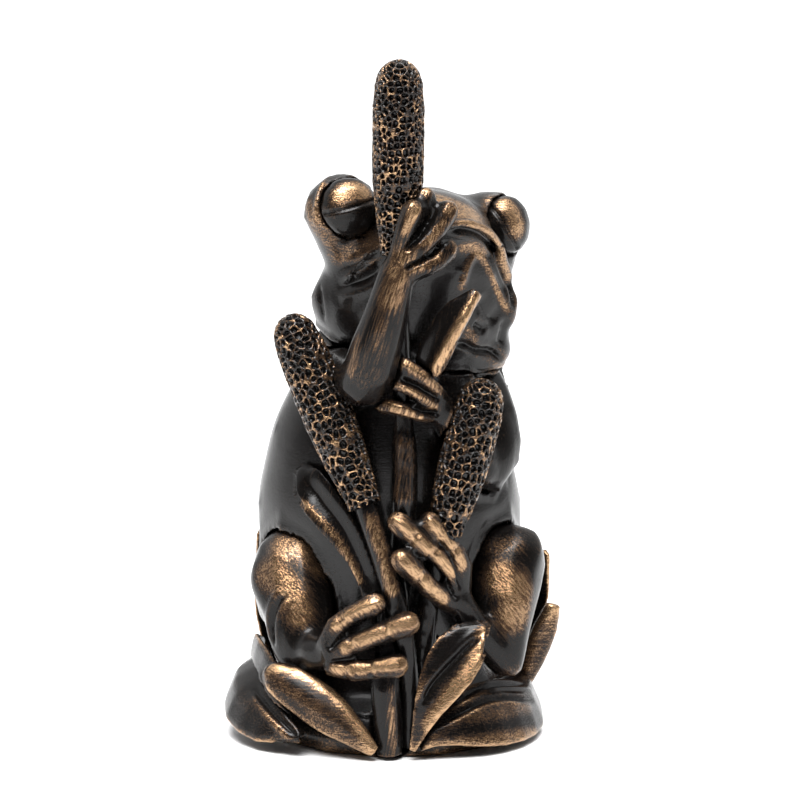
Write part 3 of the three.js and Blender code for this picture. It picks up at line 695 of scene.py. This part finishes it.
# Short lines across the toes, between their knuckles
KNUCKLES = {
    "right_leg": [[(335, 611), (347, 628)], [(349, 638), (356, 656)], [(383, 622), (390, 641)],
                  [(344, 660), (345, 682)], [(369, 658), (371, 680)]],
    "left_leg": [[(442, 546), (430, 558)], [(418, 534), (408, 546)], [(426, 574), (416, 588)],
                 [(462, 544), (450, 556)]],
}
TOE_BRUSHES = {
    "right_leg": [[(336, 626), (352, 613), (374, 602)], [(345, 648), (372, 636), (411, 621)],
                  [(335, 670), (355, 669), (394, 664)]],
    "left_leg": [[(452, 574), (440, 557), (425, 546), (400, 522)], [(462, 566), (455, 550), (431, 523)],
                 [(444, 600), (430, 587), (403, 560)]],
}
# Bronze on the knees and shins; the dab on top of each knee is also a painted highlight
LEG_BRONZE_AND_KNEE_HIGHLIGHTS = {
    "right_leg": [([(283, 546), (303, 548), (318, 560)], 7.0, 0.75),
                  ([(268, 572), (290, 590), (300, 610)], 6.5, 0.7)],
    "left_leg": [([(500, 578), (518, 592), (514, 615)], 7.0, 0.8),
                 ([(495, 546), (518, 544)], 4.0, 0.4)],
}
for node in ("right_leg", "left_leg"):
    leg = Skin(node, LEG_CELL)
    leg.relax(reach=1.4, shave=0.3, fill=0.8)
    for pixel, reach, shift in KNEE_PULLS[node]:
        leg.pull(pixel, reach, shift)
    for pixels in LEG_CREASES[node]:
        leg.crease(pixels, width=1.2, depth=0.9, lip=0.3)
    for pixels in TOE_GAPS[node]:
        leg.crease(pixels, width=1.0, depth=1.3)
    for pixels in KNUCKLES[node]:
        leg.crease(pixels, width=1.4, depth=0.45, fade=0)
    for pixels in TOE_BRUSHES[node]:
        leg.dab(pixels, reach=2.4, amount=1.0)
    for pixels, reach, load in LEG_BRONZE_AND_KNEE_HIGHLIGHTS[node]:
        leg.dab(pixels, reach, load)
    leg.brush(low=0.12, high=0.75)
    leg.seat(leg.cast(leg_patina))


# Arms
# The right hand holds the middle cattail in front of the mouth, the left hand the stems before the chest.
# Forearms were brushed lengthwise, so the bronze lies in streaks.
ARM_CELL = 0.36
arm_patina = patina("arm_patina", turn=(0, -72, 0), stroke_length=7, streaky=0.62)
LEFT_ELBOW = [(508, 425), (511, 450), (509, 478)]
FOREARM_BRUSHES = [([(404, 258), (396, 280), (390, 300)], 5.0, 0.7),
                   ([(384, 315), (374, 345)], 3.0, 0.4),
                   ([(357, 340), (350, 372)], 2.2, 0.6),
                   ([(394, 290), (378, 335), (364, 375)], 6.0, 0.25)]
FINGER_GAPS = {
    "right_arm": [[(404, 252), (413, 242), (424, 228), (436, 208)],
                  [(404, 270), (424, 259), (440, 242)]],
    "left_arm": [[(440, 401), (431, 394), (410, 383), (392, 376)],
                 [(440, 415), (422, 410), (402, 400), (382, 393)]],
}
# Along each finger and at its tip; the bronze dabbed on each fingertip is partly dry-brushed bronze and
# partly a painted highlight
FINGER_BRONZE_AND_TIP_HIGHLIGHTS = {
    "right_arm": [([(405, 232), (414, 212)], 1.5, 0.8), ([(414, 215), (415, 208)], 1.5, 1.0),
                  ([(424, 245), (435, 233), (443, 222)], 1.2, 1.0), ([(448, 213), (450, 208)], 1.4, 0.9),
                  ([(412, 270), (428, 264), (440, 256)], 1.6, 0.8), ([(424, 194), (427, 190)], 1.4, 0.9)],
    "left_arm": [([(404, 363), (412, 367), (426, 378), (440, 391)], 2.0, 0.8),
                 ([(408, 364), (413, 367)], 1.5, 1.0),
                 ([(396, 384), (408, 389), (425, 400), (434, 409)], 1.9, 0.8),
                 ([(401, 386), (409, 389)], 1.4, 1.0),
                 ([(386, 402), (402, 411), (428, 424)], 2.2, 0.8)],
}
for node in ("right_arm", "left_arm"):
    arm = Skin(node, ARM_CELL)
    arm.relax(reach=1.2, shave=0.2, fill=0.7)
    if node == "left_arm":
        arm.calm(LEFT_ELBOW, reach=2.6, width=6.0)
    for pixels in FINGER_GAPS[node]:
        arm.crease(pixels, width=1.2, depth=1.5)
    # Bronze along the fingers, with painted highlights on the fingertips
    for pixels, reach, load in FINGER_BRONZE_AND_TIP_HIGHLIGHTS[node]:
        arm.dab(pixels, reach, load)
    if node == "right_arm":
        for pixels, reach, load in FOREARM_BRUSHES:
            arm.dab(pixels, reach, load)
    arm.brush(low=0.18, high=0.75)
    arm.seat(arm.cast(arm_patina))


# Head
# A broad frog's head with turret eye sockets, a long downturned lip and folds at the throat.
# The lip, brow and cheeks are picked out in bronze; the broad bronze on top of the snout is partly a
# painted highlight.
HEAD_CELL = 0.4
MOUTH = [(447, 232), (462, 230), (480, 235), (493, 248), (502, 272), (511, 294), (514, 310)]
MOUTH_CORNER = [(382, 265), (368, 277), (351, 284), (337, 288)]
MOUTH_CORNER_EDGE = [(382, 250), (366, 260), (352, 272), (343, 292), (350, 300)]
LOWER_LIP = [[(474, 252), (484, 260), (492, 276), (499, 293), (507, 310)],
             [(476, 254), (470, 262), (466, 273), (462, 287)]]
# Folds of loose skin, each with its width and depth: under the lip, at the neck and down the cheek
THROAT_FOLDS = [
    ([(454, 343), (466, 345), (476, 350), (490, 351), (497, 356), (506, 367)], 1.1, 1.5),
    ([(473, 325), (479, 327), (486, 331)], 1.7, 1.2),
    ([(480, 296), (487, 312), (497, 322)], 3.0, 0.9),
    ([(505, 318), (502, 333), (499, 346)], 1.6, 0.6),
    ([(319, 284), (321, 303), (324, 322)], 1.1, 0.5),
]
JOWL_PULLS = [((304, 214), 8.0, (-0.8, 0, 0)), ((314, 300), 7.0, (-1.1, 0, 0)),
              ((513, 306), 6.0, (1.7, 0, 0)), ((509, 324), 5.0, (1.2, 0, 0)),
              ((502, 356), 6.5, (2.0, 0, -0.6)), ((496, 362), 5.0, (1.2, 0, -0.8)),
              ((484, 364), 5.0, (0, 0, -1.6))]
CHEEK_FOLDS = [[(341, 263), (362, 256), (380, 245)], [(348, 275), (364, 268), (380, 257)]]
EYE_RINGS = [
    [(358, 236), (350, 237), (334, 233), (322, 222), (317, 206), (320, 189), (331, 175), (346, 170)],
    [(499, 196), (494, 208), (496, 224), (503, 242), (513, 253)],
]
HEAD_BRONZE_AND_SNOUT_HIGHLIGHT = [
    ([(308, 205), (315, 228), (330, 243)], 3.4, 0.65),
    ([(350, 238), (360, 236), (370, 232)], 1.8, 0.7),
    ([(335, 256), (356, 252), (376, 242)], 4.0, 0.55),
    ([(348, 275), (364, 268), (380, 257)], 1.6, 0.4),
    # Top of the snout: bronze that is partly a painted highlight
    ([(430, 198), (450, 205), (472, 214)], 6.0, 1.0),
    ([(462, 221), (484, 230), (500, 252), (508, 277)], 2.2, 0.95),
    ([(464, 248), (474, 246), (483, 254)], 2.4, 0.8),
    ([(474, 252), (484, 260), (492, 276), (499, 293), (507, 310)], 1.6, 0.85),
    ([(476, 254), (470, 262), (466, 273), (462, 287)], 1.5, 0.7),
    ([(466, 330), (470, 335), (474, 341)], 2.0, 0.65),
    ([(490, 196), (486, 214), (496, 244)], 2.2, 0.6),
]
head = Skin("head", HEAD_CELL)
head.relax(reach=2.8, shave=0.7, fill=1.8, tight=("torso",))
head.calm(MOUTH_CORNER_EDGE, reach=2.4, width=4.0)
for pixel, reach, shift in JOWL_PULLS:
    head.pull(pixel, reach, shift)
head.crease(MOUTH, width=1.1, depth=1.2, lip=0.4)
head.crease(MOUTH_CORNER, width=1.6, depth=1.0, lip=0.4, fade=0.3)
for pixels in EYE_RINGS:
    head.crease(pixels, width=1.0, depth=-0.5, fade=0.1)
    head.dab(pixels, reach=1.0, amount=0.5)
for pixels in LOWER_LIP:
    head.crease(pixels, width=1.5, depth=-0.6)
for pixels, width, depth in THROAT_FOLDS:
    head.crease(pixels, width, depth, lip=0.1 * depth, fade=0.2)
for pixels in CHEEK_FOLDS:
    head.crease(pixels, width=1.5, depth=-0.5, fade=0.3)
for pixels, reach, load in HEAD_BRONZE_AND_SNOUT_HIGHLIGHT:
    head.dab(pixels, reach, load)
head.brush(low=0.12, high=0.65)
head.seat(head.cast(skin_patina))


# Eyes
# Domed eyeballs of the same resin, each set in its socket with a ring groove round it.
# The lower lid is drawn across the dome as a line. Bronze is laid on the upper part of the dome, partly
# dry-brushed bronze and partly a painted highlight.
EYE_CELL = 0.28
eye_patina = patina("eye_patina", stroke_length=5)
LID_LINES = {
    "right_eye": [(318, 215), (350, 208), (380, 198)],
    "left_eye": [(488, 203), (500, 217), (510, 235), (517, 248)],
}
# Upper dome of each eye: bronze that is partly a painted highlight
EYE_BRONZE_AND_HIGHLIGHT = {
    "right_eye": [(341, 195), (352, 189), (364, 191)],
    "left_eye": [(505, 204), (514, 214), (519, 228)],
}
for node in ("right_eye", "left_eye"):
    eye = Skin(node, EYE_CELL)
    eye.relax(reach=0.8, shave=0.3, fill=0.3)
    eye.crease(LID_LINES[node], width=0.6, depth=0.5, lip=0.12, fade=0)
    # Bronze on the upper dome, partly a painted highlight
    eye.dab(EYE_BRONZE_AND_HIGHLIGHT[node], reach=3.8, amount=0.95)
    eye.brush(low=0.7, high=1.4)
    eye.seat(eye.cast(eye_patina))


# Stems and free leaves
# Three round stems rise from between the feet to the cattails, with one leaf under the chin and one by
# the flank. They belong to the same casting and were brushed along their length.
STEM_CELL = 0.36
stem_patina = patina("stem_patina", turn=(0, -80, 0), stroke_length=9, streaky=0.62)
STEM_BRUSHES = {
    "right_stem": [([(372, 520), (385, 560), (392, 590)], 2.6, 0.8)],
    "centre_stem": [([(398, 440), (398, 500)], 1.6, 0.45), ([(412, 440), (411, 500)], 1.4, 0.4),
                    ([(391, 690), (392, 720), (392, 752)], 1.6, 0.6)],
    "chin_leaf": [([(478, 298), (463, 320), (449, 345), (436, 369)], 2.4, 1.0)],
    "flank_leaf": [([(296, 497), (312, 511), (331, 531), (346, 552), (360, 582)], 1.2, 0.95)],
}
STEM_SWELL = [(405, 432), (405, 470), (404, 515)]
CHIN_LEAF_PULLS = [((473, 312), (0.3, 0, -0.2)), ((460, 335), (0.4, 0, -0.3)),
                   ((447, 358), (0.5, 0, -0.3)), ((438, 372), (0.7, 0, -0.3))]
CHIN_LEAF_GROOVE = [(481, 304), (465, 329), (452, 351), (442, 370)]
FLANK_LEAF_TIP = [(300, 466), (291, 478), (296, 498)]
FLANK_LEAF_HOLLOW = [(304, 478), (322, 503), (343, 530), (360, 565), (370, 592)]
for node in ("centre_stem", "right_stem", "left_stem", "chin_leaf", "flank_leaf"):
    stem = Skin(node, STEM_CELL)
    stem.relax(reach=1.0, shave=0.3, fill=0.5)
    if node == "centre_stem":
        stem.crease(STEM_SWELL, width=6.0, depth=-0.9)
    if node == "chin_leaf":
        for pixel, shift in CHIN_LEAF_PULLS:
            stem.pull(pixel, reach=8.0, shift=shift)
        stem.crease(CHIN_LEAF_GROOVE, width=0.5, depth=0.4, fade=0.05)
    if node == "flank_leaf":
        stem.calm(FLANK_LEAF_TIP, reach=2.0, width=4.5)
        stem.crease(FLANK_LEAF_HOLLOW, width=3.2, depth=0.8)
    for pixels, reach, load in STEM_BRUSHES.get(node, []):
        stem.dab(pixels, reach, load)
    stem.brush(low=0.35, high=1.0)
    stem.seat(stem.cast(stem_patina))


# Cattails
# Each seed head is a spindle of the same resin, cast on the end of its stem and pitted all over like
# foam. The brush left bronze on the ridges, in patches, and the pits stayed black.
CATTAIL_CELL = 0.22
SPINDLE_SWELL = 0.3
CROWN_HEIGHT = 5.5
CROWN_BLEND = 0.4 * CROWN_HEIGHT
PIT_PITCH = {"centre_cattail": 1.5, "right_cattail": 1.8, "left_cattail": 1.8}
PIT_DEPTH = 1.1
PIT_SEED = 4.0
PIT_SCATTER = 0.92
# Shares of the pitch over which a pit's wall falls and its corners are rounded off
PIT_WALL = (0.08, 0.45)
PIT_CORNER = (0.40, 0.65)
# Bronze on the ridges: its load, the depth at which it ends, and the patches in which it is thin
RIDGE_LOAD = 0.85
RIDGE_END = 0.35
THIN_PATCH_DENSITY = 0.4
THIN_PATCH_RANGE = (0.38, 0.62)
THIN_PATCH_LOAD = 0.35


def round_crown(spindle):
    """Rounds the upper end of a spindle, like the end of an egg, and marks where each point lies on the
    unrolled surface: round the spindle and along it."""
    middle = spindle.points.mean(0)
    axis = np.linalg.svd(spindle.points - middle, full_matrices=False)[2][0]
    axis *= np.sign(axis[2])
    ahead = (spindle.points - middle) @ axis
    foot = ahead.max() - CROWN_HEIGHT
    core = middle + foot * axis
    rise = ahead - foot
    away = spindle.points - middle - ahead[:, None] * axis
    wide = np.linalg.norm(away, axis=1)
    radius = np.median(wide[np.abs(rise) < 2 * spindle.cell])
    scale = 1 / np.sqrt((wide / radius) ** 2 + (rise / CROWN_HEIGHT) ** 2)
    scale = 1 + (scale - 1) * smooth_step(rise, 0, CROWN_BLEND)
    spindle.points = core + (spindle.points - core) * scale[:, None]
    spindle.refresh()
    right = np.cross((0, 1, 0), axis)
    angle = np.arctan2(away @ right, -away[:, 1])
    climb = np.where(rise > 0, CROWN_HEIGHT * np.arctan2(rise, wide), rise)
    unrolled = np.stack([angle * wide * scale, climb, np.zeros(len(climb))], 1)
    marks = spindle.mesh.attributes.new("unrolled", "FLOAT_VECTOR", "POINT")
    marks.data.foreach_set("vector", unrolled.ravel())


def pitted_tree(material):
    """Geometry nodes that sink an irregular foam of pits into a surface and mark its ridges."""
    tree = bpy.data.node_groups.new("foam_of_pits", "GeometryNodeTree")
    add_socket = tree.interface.new_socket
    add_socket("Geometry", in_out="INPUT", socket_type="NodeSocketGeometry")
    for name in ("Pit pitch", "Pit depth", "Seed"):
        add_socket(name, in_out="INPUT", socket_type="NodeSocketFloat")
    add_socket("Geometry", in_out="OUTPUT", socket_type="NodeSocketGeometry")
    add, wire, maths, ranged = helpers_of(tree)
    given = add("NodeGroupInput").outputs
    place = add("GeometryNodeInputNamedAttribute", data_type="FLOAT_VECTOR")
    place.inputs["Name"].default_value = "unrolled"
    shifted = add("ShaderNodeVectorMath")
    wire(place.outputs[0], shifted.inputs[0])
    wire(given["Seed"], shifted.inputs[1])
    density = maths("DIVIDE", 1.0, given["Pit pitch"])
    distances = []
    for feature in ("F1", "F2"):
        cells = add("ShaderNodeTexVoronoi", voronoi_dimensions="2D", feature=feature)
        cells.inputs["Randomness"].default_value = PIT_SCATTER
        wire(shifted.outputs[0], cells.inputs["Vector"])
        wire(density, cells.inputs["Scale"])
        distances.append(cells.outputs["Distance"])
    to_centre, to_next = distances
    wall = ranged(maths("SUBTRACT", to_next, to_centre), *PIT_WALL)
    pit = maths("MULTIPLY", wall, ranged(to_centre, *PIT_CORNER, 1.0, 0.0))
    patches = add("ShaderNodeTexNoise")
    patches.inputs["Scale"].default_value = THIN_PATCH_DENSITY
    wire(shifted.outputs[0], patches.inputs["Vector"])
    load = ranged(patches.outputs["Fac"], *THIN_PATCH_RANGE, THIN_PATCH_LOAD, 1.0)
    ridge = maths("MULTIPLY", ranged(pit, 0.0, RIDGE_END, RIDGE_LOAD, 0.0), load)
    sink = maths("MULTIPLY", maths("MULTIPLY", pit, given["Pit depth"]), -1.0)
    inward = add("ShaderNodeVectorMath", operation="SCALE")
    wire(add("GeometryNodeInputNormal").outputs[0], inward.inputs[0])
    wire(sink, inward.inputs["Scale"])
    mark = add("GeometryNodeStoreNamedAttribute", data_type="FLOAT", domain="POINT")
    mark.inputs["Name"].default_value = "bronze_and_highlight"
    wire(given["Geometry"], mark.inputs["Geometry"])
    wire(ridge, mark.inputs["Value"])
    press = add("GeometryNodeSetPosition")
    wire(mark.outputs[0], press.inputs["Geometry"])
    wire(inward.outputs[0], press.inputs["Offset"])
    real = add("GeometryNodeRealizeInstances")
    wire(press.outputs[0], real.inputs[0])
    dress = add("GeometryNodeSetMaterial")
    dress.inputs["Material"].default_value = material
    wire(real.outputs[0], dress.inputs["Geometry"])
    wire(dress.outputs[0], add("NodeGroupOutput").inputs["Geometry"])
    return tree


cattail_patina = patina("cattail_patina", speckle=0.45, stroke_length=1.5, stroke_width=0.8, gloss=0.25)
foam_tree = pitted_tree(cattail_patina)
for node in ("centre_cattail", "right_cattail", "left_cattail"):
    spindle = Skin(node, CATTAIL_CELL)
    spindle.relax(reach=2.6, shave=0.5, fill=1.0)
    spindle.points += spindle.normals * SPINDLE_SWELL
    round_crown(spindle)
    cattail = spindle.cast(cattail_patina)
    pits = cattail.modifiers.new("foam_of_pits", "NODES")
    pits.node_group = foam_tree
    values = {"Pit pitch": PIT_PITCH[node], "Pit depth": PIT_DEPTH * MM, "Seed": PIT_SEED}
    for item in foam_tree.interface.items_tree:
        if item.name in values:
            pits[item.identifier] = values[item.name]
    graph = bpy.context.evaluated_depsgraph_get()
    pitted = bpy.data.meshes.new_from_object(cattail.evaluated_get(graph))
    cattail.modifiers.clear()
    pitted.attributes.remove(pitted.attributes["unrolled"])
    cattail.data = pitted
    spindle.seat(cattail)
